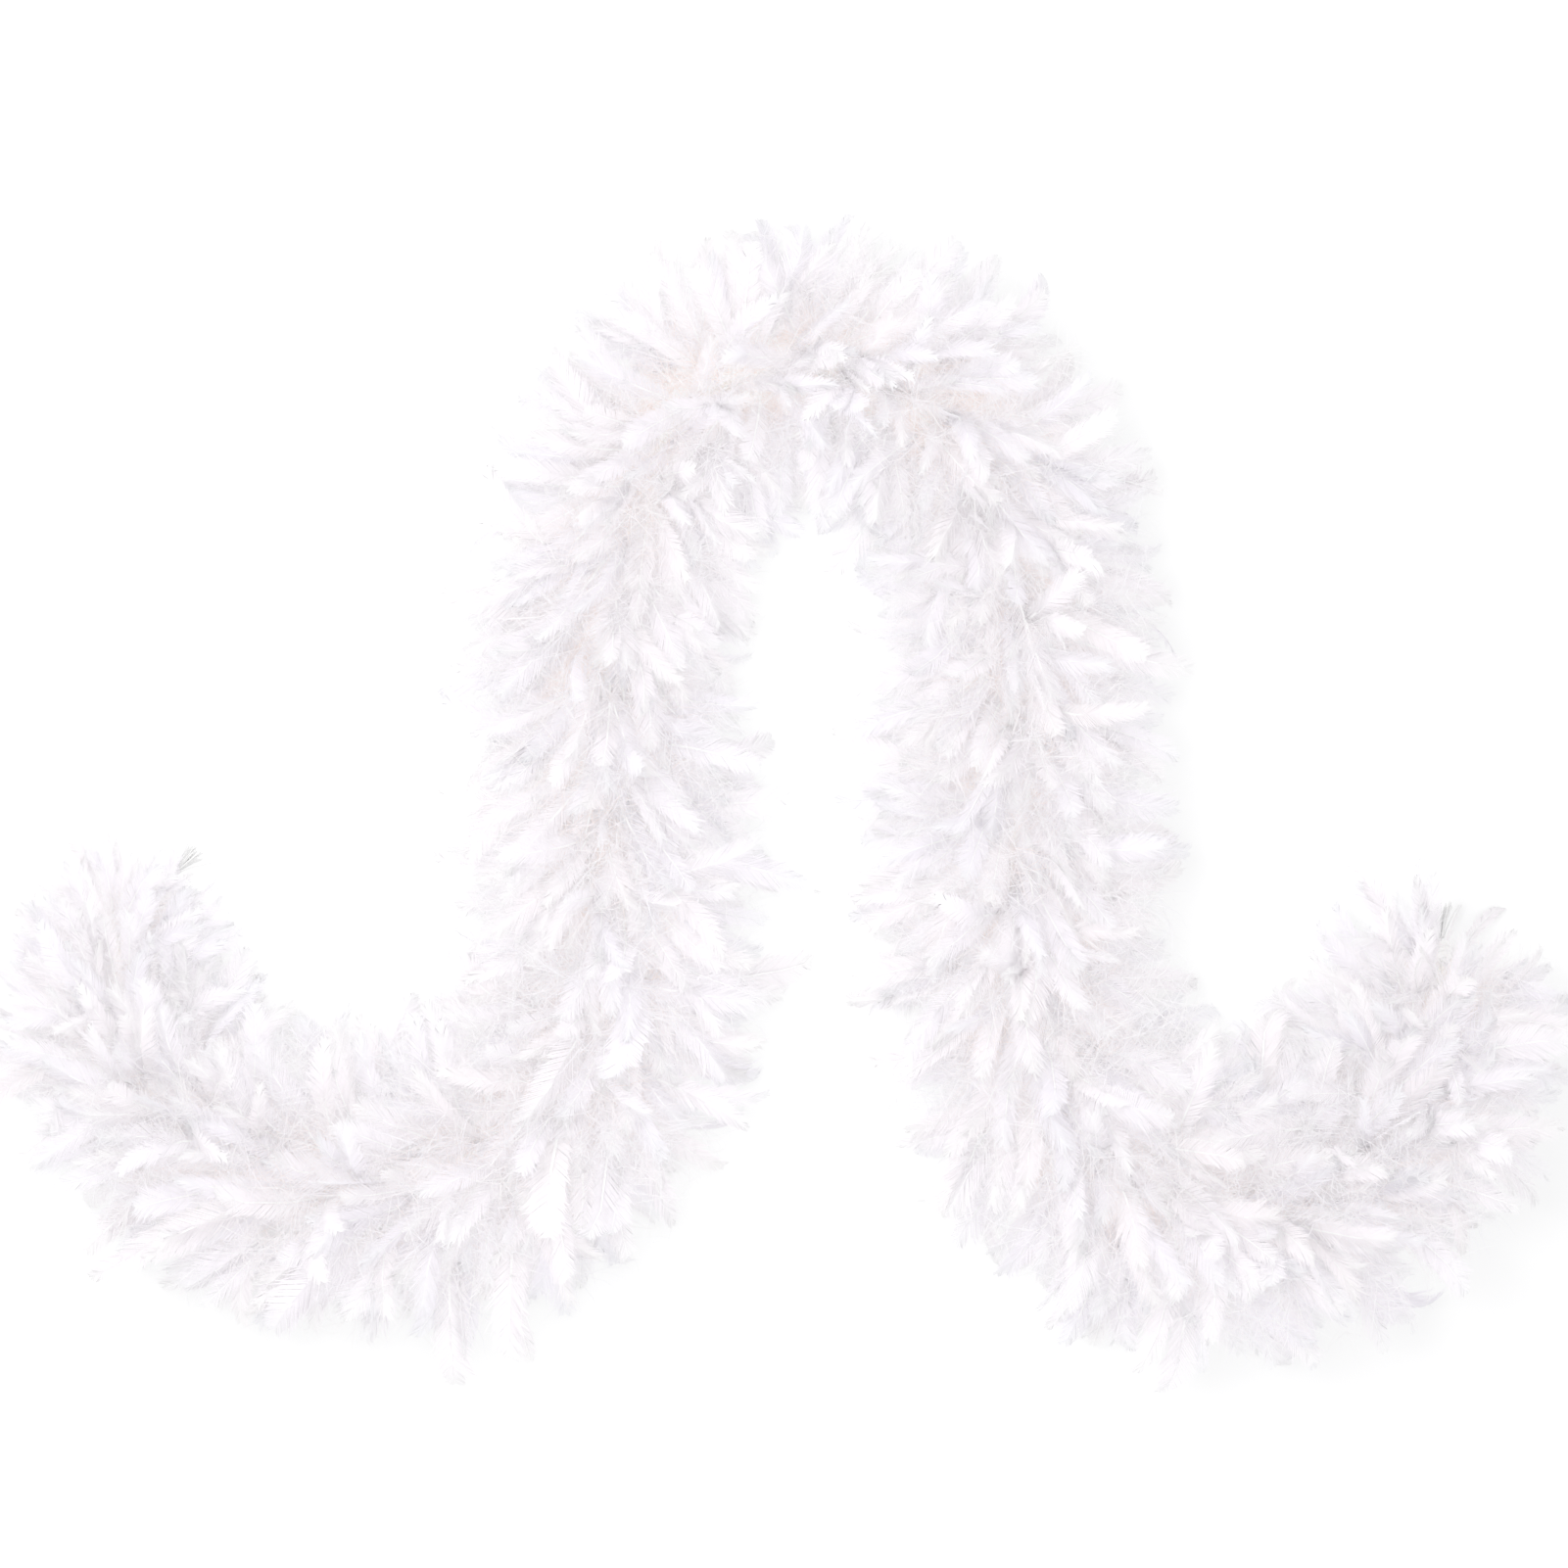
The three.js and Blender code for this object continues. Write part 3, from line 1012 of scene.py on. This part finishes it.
def pattern_collection(name, make, kinds, sizes, seed):
    """A collection of feather patterns, for the tree to pick from."""
    collection = bpy.data.collections.new(name)
    bpy.context.scene.collection.children.link(collection)
    for kind in range(kinds):
        pattern = f"{name}_{kind:02d}"
        mesh = make(pattern, sizes, random.Random(seed + kind))
        collection.objects.link(bpy.data.objects.new(pattern, mesh))
    return collection


def remove_patterns():
    """Takes the feather patterns out of the scene, once every feather has been made from them."""
    for name in (PLUME_PATTERNS, DOWN_PATTERNS):
        collection = bpy.data.collections[name]
        for pattern in list(collection.objects):
            bpy.data.objects.remove(pattern)
        bpy.data.collections.remove(collection)


# ---------------------------------------------------------------- operators


def boa_sizes():
    return bpy.context.scene.boa_sizes


class BOA_OT_studio(bpy.types.Operator):
    """Makes the camera above the boa, the pale floor and the soft lights"""

    bl_idname = "boa.studio"
    bl_label = "Studio"

    def execute(self, context):
        scene = context.scene
        self.add_camera(scene)
        self.add_floor()
        self.add_light(
            scene, "Key", place=(-0.9, 0.6, 1.6), size=0.9, power=10.0, colour=(1.0, 0.99, 0.98)
        )
        self.add_light(
            scene, "Overhead", place=(-0.15, 0.0, 1.0), size=0.5, power=4.6, colour=(1.0, 0.99, 0.99)
        )
        scene.world = bpy.data.worlds.new("Studio")
        scene.world.use_nodes = True
        background = scene.world.node_tree.nodes["Background"]
        background.inputs["Color"].default_value = (0.99, 0.99, 1.0, 1.0)
        background.inputs["Strength"].default_value = 1.07
        scene.view_settings.view_transform = "Standard"
        scene.view_settings.gamma = 1.8
        self.soften_deep_shade(scene)
        return {"FINISHED"}

    def add_camera(self, scene):
        """A camera straight above the boa, with its view's width given at the plumage's middle."""
        view_width = 0.932
        height = 2.5
        plumage_middle = 0.06
        camera = bpy.data.cameras.new("Camera")
        camera.sensor_width = 36.0
        camera.lens = camera.sensor_width * (height - plumage_middle) / view_width
        looking = bpy.data.objects.new("Camera", camera)
        looking.location = (0.0023, 0.0053, height)
        scene.collection.objects.link(looking)
        scene.camera = looking

    def add_floor(self):
        """A wide square just below the boa."""
        floor = bpy.data.meshes.new("studio_floor")
        half, below = 4.0, -0.0004
        corners = [(x * half, y * half, below) for x, y in ((-1, -1), (1, -1), (1, 1), (-1, 1))]
        floor.from_pydata(corners, [], [(0, 1, 2, 3)])
        floor.materials.append(floor_finish())
        add_object("studio_floor", floor)

    def soften_deep_shade(self, scene):
        """Lets the white surroundings stand in for light that has bounced deep into the plumage."""
        scene.cycles.use_fast_gi = True
        scene.cycles.fast_gi_method = "REPLACE"
        scene.cycles.ao_bounces_render = 1
        scene.world.light_settings.ao_factor = 1.0
        scene.world.light_settings.distance = 0.006

    def add_light(self, scene, name, place, size, power, colour):
        light = bpy.data.lights.new(name, "AREA")
        light.shape = "DISK"
        light.size = size
        light.energy = power
        light.color = colour
        lamp = bpy.data.objects.new(name, light)
        lamp.location = place
        lamp.rotation_euler = (-Vector(place)).to_track_quat("-Z", "Y").to_euler()
        lamp.visible_camera = False
        scene.collection.objects.link(lamp)


class BOA_OT_finishes(bpy.types.Operator):
    """Makes the materials of the feathers, quills, cord and thread"""

    bl_idname = "boa.finishes"
    bl_label = "Finishes"

    def execute(self, context):
        colours = context.scene.boa_colours
        tip, plume, down = tuple(colours.tip), tuple(colours.plume), tuple(colours.down)
        cotton = tuple(colours.cotton)
        feather_finish("Plume", tip, plume, down, root_until=0.3, light_through=0.42)
        # The down's roots take the core colour, a painted warm shade deep in the plumage.
        feather_finish("Down", tip, down, tuple(colours.core), root_until=0.26, light_through=0.5)
        quill_finish(tuple(colours.quill))
        cotton_finish("Cotton cord", cotton, fibre_scale=900.0)
        cotton_finish("Cotton thread", cotton, fibre_scale=1800.0)
        # The frayed yarn is greyer than the cord as painted shadow between its strands.
        cotton_finish("Frayed yarn", tuple(colours.yarn), fibre_scale=1500.0)
        return {"FINISHED"}


class BOA_OT_cord(bpy.types.Operator):
    """Twists the cotton cord that runs through the boa, in one piece for each joint"""

    bl_idname = "boa.cord"
    bl_label = "Cord"

    def execute(self, context):
        sizes = boa_sizes()
        tree = wound_strand_tree()
        strands = 3
        strand_radius = sizes.cord_diameter / 4
        for stretch in STRETCHES:
            start, end = stretch.span(CORD_START, CORD_END)
            meshes = []
            for strand in range(strands):
                mesh = run_tree(
                    tree, route_rail(start, end, step=0.0022), radius=strand_radius,
                    pitch=sizes.cord_pitch, phase=math.tau * strand / strands,
                    strand_radius=strand_radius * 1.05, sides=8,
                    material=material("Cotton cord"),
                )  # fmt: skip
                meshes.append(mesh)
            cord = add_object(f"cord_{stretch.name}", joined(meshes))
            stretch.bend(cord)
            self.declare(cord, stretch, start, end, sizes.cord_diameter)
        return {"FINISHED"}

    def declare(self, cord, stretch, start, end, diameter):
        """Hides the imported core cords that this cord stands for."""
        path = ROUTE.line(start, end, step=0.005)
        if stretch.first:
            path.reverse()
        bodies = stretch.bodies if stretch.last else stretch.bodies[:1]
        nodes = [f"core_cord_{body}" for body in bodies]
        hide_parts(*nodes)


# A binding: quills in a ring round the cord, and thread wound round them.
QUILLS = 12
QUILL_RADIUS = 0.0009
QUILL_RING_RADIUS = 0.0037
QUILLS_BEHIND = 0.020
QUILLS_AHEAD = 0.018
QUILL_UNEVENNESS = 0.004
THREAD_RING_RADIUS = 0.005
THREAD_HALF_LENGTH = 0.016


class BOA_OT_bindings(bpy.types.Operator):
    """Lays quill ends round the cord and winds thread over them, section by section"""

    bl_idname = "boa.bindings"
    bl_label = "Quills and thread"

    def execute(self, context):
        tree = wound_strand_tree()
        for stretch in STRETCHES:
            quills, threads = [], []
            for middle in self.binding_middles(stretch):
                quills += self.quill_meshes(tree, middle)
                threads.append(self.thread_mesh(tree, middle))
            quill_piece = self.finished(f"quills_{stretch.name}", quills, "quill", stretch)
            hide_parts(*stretch.nodes("quill_binding_"))
            self.finished(f"thread_{stretch.name}", threads, "cotton", stretch)
        return {"FINISHED"}

    def binding_middles(self, stretch):
        longest = QUILLS_BEHIND + QUILL_UNEVENNESS
        middles = []
        for section in range(sum(SECTION_COUNTS)):
            middle = PLUMAGE_START + (section + 0.5) * SECTION_LENGTH
            if stretch.holds(middle):
                middles.append(clamp(middle, CORD_START + longest, CORD_END - longest))
        return middles

    def quill_meshes(self, tree, middle):
        """Bare quill ends side by side round the cord, each a little longer or shorter."""
        meshes = []
        for quill in range(QUILLS):
            rng = random.Random(round(middle * 1000) * 31 + quill)
            start = middle - QUILLS_BEHIND - rng.uniform(0.0, QUILL_UNEVENNESS)
            end = middle + QUILLS_AHEAD + rng.uniform(0.0, QUILL_UNEVENNESS)
            mesh = run_tree(
                tree, route_rail(start, end, step=0.007), radius=QUILL_RING_RADIUS,
                pitch=0.9 * rng.choice((-1, 1)), phase=math.tau * quill / QUILLS,
                strand_radius=QUILL_RADIUS, sides=6, material=material("Quill ivory"),
            )  # fmt: skip
            meshes.append(mesh)
        return meshes

    def thread_mesh(self, tree, middle):
        start, end = middle - THREAD_HALF_LENGTH, middle + THREAD_HALF_LENGTH
        thickness = boa_sizes().thread_diameter
        return run_tree(
            tree, route_rail(start, end, step=0.00022), radius=THREAD_RING_RADIUS,
            pitch=thickness * 2.2, phase=0.0, strand_radius=thickness / 2, sides=4,
            material=material("Cotton thread"),
        )  # fmt: skip

    def finished(self, name, meshes, slot, stretch):
        piece = add_object(name, joined(meshes))
        stretch.bend(piece)
        return piece


def square_directions(distance, facing=1):
    """The way along the cord, and the sideways and upward ways that are square to it."""
    way = facing * ROUTE.direction(distance)
    side = way.cross(Vector((0, 0, 1))).normalized()
    return way, side, side.cross(way)


def plain_strand(tree, points, radius, sides, finish):
    """A round strand straight through the points."""
    return run_tree(
        tree, rail(points, [0.0] * len(points)), radius=0.0, pitch=1.0, phase=0.0,
        strand_radius=radius, sides=sides, material=material(finish),
    )  # fmt: skip


class BOA_OT_end_knots(bpy.types.Operator):
    """Ties a knot and frays the yarn at each end of the cord"""

    bl_idname = "boa.end_knots"
    bl_label = "End knots"

    def execute(self, context):
        tree = wound_strand_tree()
        for side, end, inwards in (("left", 0.0, 1), ("right", ROUTE.length, -1)):
            body = f"{side}_end"
            knot_middle = end + inwards * (FRAY_LENGTH + TOUCHING_GAP + KNOT_LENGTH / 2)
            knot = add_object(f"knot_{side}", self.knot_mesh(tree, knot_middle))
            fray = add_object(f"fray_{side}", self.fray_mesh(tree, end, inwards))
            for piece, node in ((knot, f"end_knot_{side}"), (fray, f"yarn_fray_{side}")):
                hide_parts(node)
                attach(piece, body)
        return {"FINISHED"}

    def knot_mesh(self, tree, middle):
        """A few tight turns of the cord over each other."""
        way, side, up = square_directions(middle)
        points = []
        count, turns = 60, 2.6
        for i in range(count + 1):
            share = i / count
            angle = math.tau * turns * share
            radius = 0.0042 + 0.0006 * math.sin(3 * angle)
            along = KNOT_LENGTH * 0.6 * (share - 0.5) + 0.0012 * math.sin(2 * angle)
            points.append(
                ROUTE.at(middle) + way * along
                + side * radius * math.cos(angle) + up * radius * math.sin(angle)
            )  # fmt: skip
        points = [ROUTE.at(middle) - way * 0.005, *points, ROUTE.at(middle) + way * 0.005]
        mesh = plain_strand(tree, points, radius=0.0022, sides=12, finish="Cotton cord")
        shade_smooth(mesh)
        return mesh

    def fray_mesh(self, tree, end, inwards):
        """Loose strands of yarn that spring from the knot and bend over together."""
        rng = random.Random(7 if inwards > 0 else 8)
        root = end + inwards * FRAY_LENGTH
        way, side, up = square_directions(root, facing=-inwards)
        meshes = []
        for _ in range(24):
            angle = rng.uniform(0, math.tau)
            spread = rng.uniform(0.0, 1.0) ** 0.5
            out = side * math.cos(angle) + up * math.sin(angle)
            size = FRAY_LENGTH * rng.uniform(0.75, 1.0)
            curl = side * rng.uniform(-0.2, 0.35) + up * rng.uniform(-0.1, 0.25)
            points = []
            for step in range(9):
                share = step / 8
                place = ROUTE.at(root) + out * 0.0016 * spread + way * size * share * (1 - 0.15 * share)
                place += out * spread * 0.0085 * share**1.3 + curl * size * share**2 * 0.35
                place.z = max(place.z, 0.0012)
                points.append(place)
            meshes.append(plain_strand(tree, points, radius=0.0004, sides=5, finish="Frayed yarn"))
        return joined(meshes)


def tie_feathers(kind, collection, kinds, per_metre, seed, finish, **settings):
    """Feathers of a kind all along the boa, in one piece for each joint."""
    tree = tied_feathers_tree()
    pieces = []
    for number, stretch in enumerate(STRETCHES):
        start, end = stretch.span(CORD_START + BARE_CORD, CORD_END - BARE_CORD)
        mesh = run_tree(
            tree, route_rail(start, end, step=0.004), feathers=bpy.data.collections[collection],
            kinds=kinds, count=round((end - start) * per_metre), seed=seed + number,
            root_radius=0.004, material=material(finish), **settings,
        )  # fmt: skip
        piece = add_object(f"{kind}_{stretch.name}", mesh)
        stretch.bend(piece)
        pieces.append(piece)
    return pieces


class BOA_OT_down(bpy.types.Operator):
    """Ties tufts of down close round the cord"""

    bl_idname = "boa.down"
    bl_label = "Down"

    def execute(self, context):
        sizes = boa_sizes()
        pattern_collection(DOWN_PATTERNS, down_pattern, DOWN_KINDS, sizes, seed=500)
        tie_feathers(
            "down", DOWN_PATTERNS, DOWN_KINDS, sizes.down_per_metre, seed=100, finish="Down",
            lean=sizes.lean * 0.4, shortest=0.8, longest=1.2, looseness=0.5, roll=1.0,
            farthest=1.36, top=0.118,
        )  # fmt: skip
        return {"FINISHED"}


class BOA_OT_plumes(bpy.types.Operator):
    """Ties the vaned feathers round the cord, leaning towards the boa's ends"""

    bl_idname = "boa.plumes"
    bl_label = "Plumes"

    def execute(self, context):
        sizes = boa_sizes()
        pattern_collection(PLUME_PATTERNS, plume_pattern, PLUME_KINDS, sizes, seed=900)
        pieces = tie_feathers(
            "plumes", PLUME_PATTERNS, PLUME_KINDS, sizes.plumes_per_metre, seed=200,
            finish="Plume", lean=sizes.lean, shortest=0.64, longest=0.92, looseness=0.62,
            roll=0.5, farthest=1.4, top=0.130,
        )  # fmt: skip
        for piece, stretch in zip(pieces, STRETCHES):
            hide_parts(*stretch.nodes("plumage_"))
        return {"FINISHED"}


class BOA_OT_strays(bpy.types.Operator):
    """Ties a few long feathers that stand out from the rest"""

    bl_idname = "boa.strays"
    bl_label = "Strays"

    def execute(self, context):
        sizes = boa_sizes()
        tie_feathers(
            "strays", PLUME_PATTERNS, PLUME_KINDS, sizes.strays_per_metre, seed=300,
            finish="Plume", lean=sizes.lean, shortest=0.95, longest=1.2, looseness=0.9, roll=0.5,
            farthest=1.8, top=0.130,
        )  # fmt: skip
        return {"FINISHED"}


class BOA_PT_panel(bpy.types.Panel):
    """Lists the steps that build the boa, with its sizes and colours"""

    bl_idname = "BOA_PT_panel"
    bl_label = "Feather Boa"
    bl_space_type = "VIEW_3D"
    bl_region_type = "UI"
    bl_category = "Boa"

    def draw(self, context):
        for group in (context.scene.boa_sizes, context.scene.boa_colours):
            for name in group.bl_rna.properties.keys():
                if name not in ("rna_type", "name"):
                    self.layout.prop(group, name)
        for operator in OPERATORS:
            self.layout.operator(operator.bl_idname)


OPERATORS = (
    BOA_OT_studio,
    BOA_OT_finishes,
    BOA_OT_cord,
    BOA_OT_bindings,
    BOA_OT_end_knots,
    BOA_OT_down,
    BOA_OT_plumes,
    BOA_OT_strays,
)
CLASSES = (BoaSizes, BoaColours, *OPERATORS, BOA_PT_panel)


def register():
    for cls in CLASSES:
        bpy.utils.register_class(cls)
    bpy.types.Scene.boa_sizes = bpy.props.PointerProperty(type=BoaSizes)
    bpy.types.Scene.boa_colours = bpy.props.PointerProperty(type=BoaColours)


def unregister():
    del bpy.types.Scene.boa_colours
    del bpy.types.Scene.boa_sizes
    for cls in reversed(CLASSES):
        bpy.utils.unregister_class(cls)


def main():
    register()
    bpy.ops.boa.studio()
    bpy.ops.boa.finishes()
    bpy.ops.boa.cord()
    bpy.ops.boa.bindings()
    bpy.ops.boa.end_knots()
    bpy.ops.boa.down()
    bpy.ops.boa.plumes()
    bpy.ops.boa.strays()
    remove_patterns()


if __name__ == "__main__":
    main()
